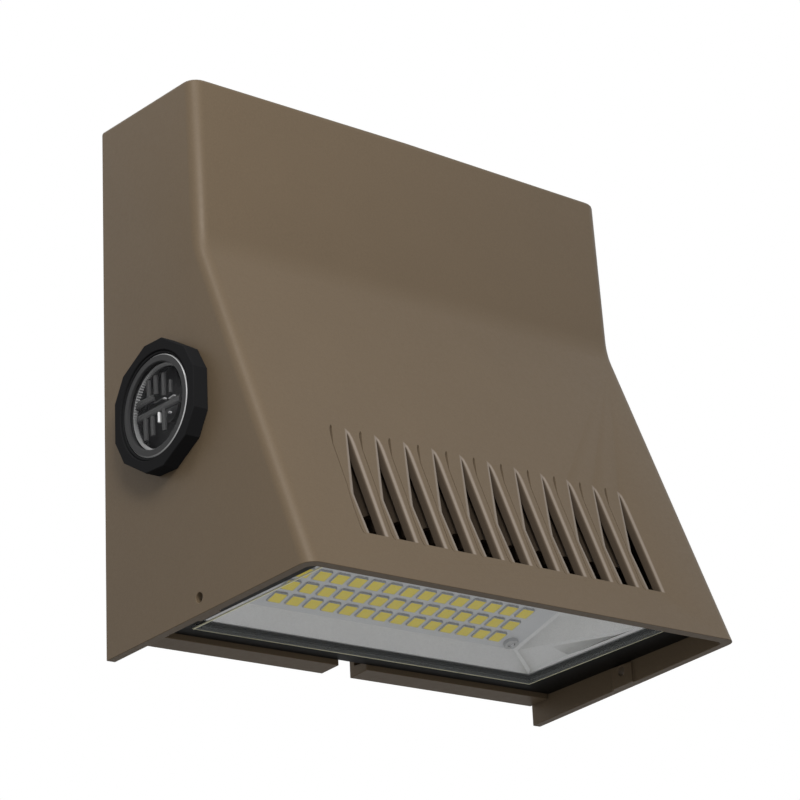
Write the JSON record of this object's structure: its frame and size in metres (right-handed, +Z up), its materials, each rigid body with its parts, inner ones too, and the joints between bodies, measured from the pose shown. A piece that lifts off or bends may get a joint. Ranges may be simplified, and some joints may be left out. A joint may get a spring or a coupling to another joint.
{
  "type": "wall pack light",
  "caption": "Full cut-off wall light: a bronze die-cast hood with louvred vents and a button photocell swings up from a wall plate; the LED engine shines down through a flat lens.",
  "frame": {"origin": "centre of the wall plate's four-hole pattern, on the plate's rear face", "axes": "+X to the right along the wall as the light is looked at, +Y into the wall, +Z up"},
  "size_m": [0.1851, 0.1009, 0.1815],
  "materials": {
    "bronze_paint": "satin, finely textured powder coat",
    "steel": "zinc plated",
    "earth_green": "green earth screw",
    "black_rubber": "matt",
    "black_paint": "satin black",
    "black_plastic": "matt",
    "clear_plastic": "clear, lightly ribbed",
    "clear_glass": "clear",
    "reflector_aluminium": "satin, grained",
    "board_white": "white solder resist",
    "led_yellow": "yellow phosphor, off",
    "pad_grey": "soft",
    "driver_grey": "matt",
    "lid_plate": "satin",
    "sensor_board": "dark",
    "lead_white": "smooth",
    "lead_black": "smooth"
  },
  "bodies": {
    "wall_side": {"wall_plate": "bronze_paint", "wall_gasket": "black_rubber", "wire_grommet": "black_rubber", "ground_screw": "earth_green"},
    "cover": {"front_housing": "bronze_paint", "hinge_pins": "steel", "heat_sink": "bronze_paint", "heat_sink_screws": "steel", "thermal_pad": "pad_grey", "led_board": "board_white", "leds": "led_yellow", "board_screws": "steel", "reflector": "reflector_aluminium", "glass_lens": "clear_glass", "lens_gasket": "black_rubber", "lens_frame": "black_paint", "frame_screws": "steel", "driver_case": "driver_grey", "driver_lid": "lid_plate", "driver_screws": "steel", "lead_gland": "black_plastic", "led_lead": "lead_white", "photocell_body": "black_plastic", "photocell_lens": "clear_plastic", "photocell_board": "sensor_board", "photocell_gasket": "black_rubber", "photocell_nut": "black_plastic", "photocell_lead": "lead_black"},
    "lock": {"lock_screw": "steel"}
  },
  "joints": [
    {"name": "cover_swing", "type": "hinge", "parent": "wall_side", "child": "cover", "pos_m": [0, -0.017, 0.0917], "axis": [-1, 0, 0], "range_deg": [0, 70]},
    {"name": "lock_travel", "type": "slide", "parent": "cover", "child": "lock", "axis": [0, 0, 1], "range_m": [0, 0.0032]}
  ]
}
